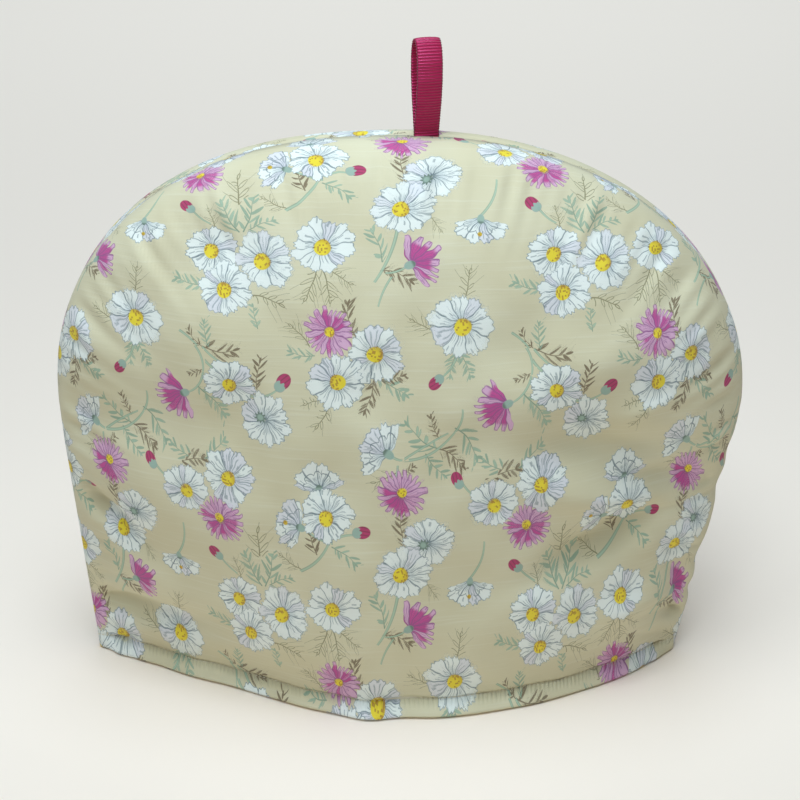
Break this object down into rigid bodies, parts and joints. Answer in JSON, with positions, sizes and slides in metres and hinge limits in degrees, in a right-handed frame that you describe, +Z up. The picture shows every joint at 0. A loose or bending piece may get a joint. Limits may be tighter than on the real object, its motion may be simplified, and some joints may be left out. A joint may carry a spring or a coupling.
{
  "type": "tea cosy",
  "caption": "Padded tea cosy of printed cotton: dome-shaped front and back panels joined by a seam, open at the turned hem, with a ribbon loop at the top.",
  "frame": {"origin": "on the surface that the hem stands on, under the middle of the cosy", "axes": "+X along the cosy's width, to the viewer's right; +Y from the front panel to the back panel; +Z up, towards the ribbon loop"},
  "size_m": [0.29, 0.1321, 0.2779],
  "materials": {
    "printed_cotton_front": "cream cotton printed with small flowers and leaves",
    "printed_cotton_back": "cream cotton printed with small flowers and leaves",
    "ribbon": "magenta grosgrain ribbon with a soft sheen"
  },
  "bodies": {
    "root": {"front_panel": "printed_cotton_front", "back_panel": "printed_cotton_back", "ribbon_loop": "ribbon"}
  },
  "joints": []
}
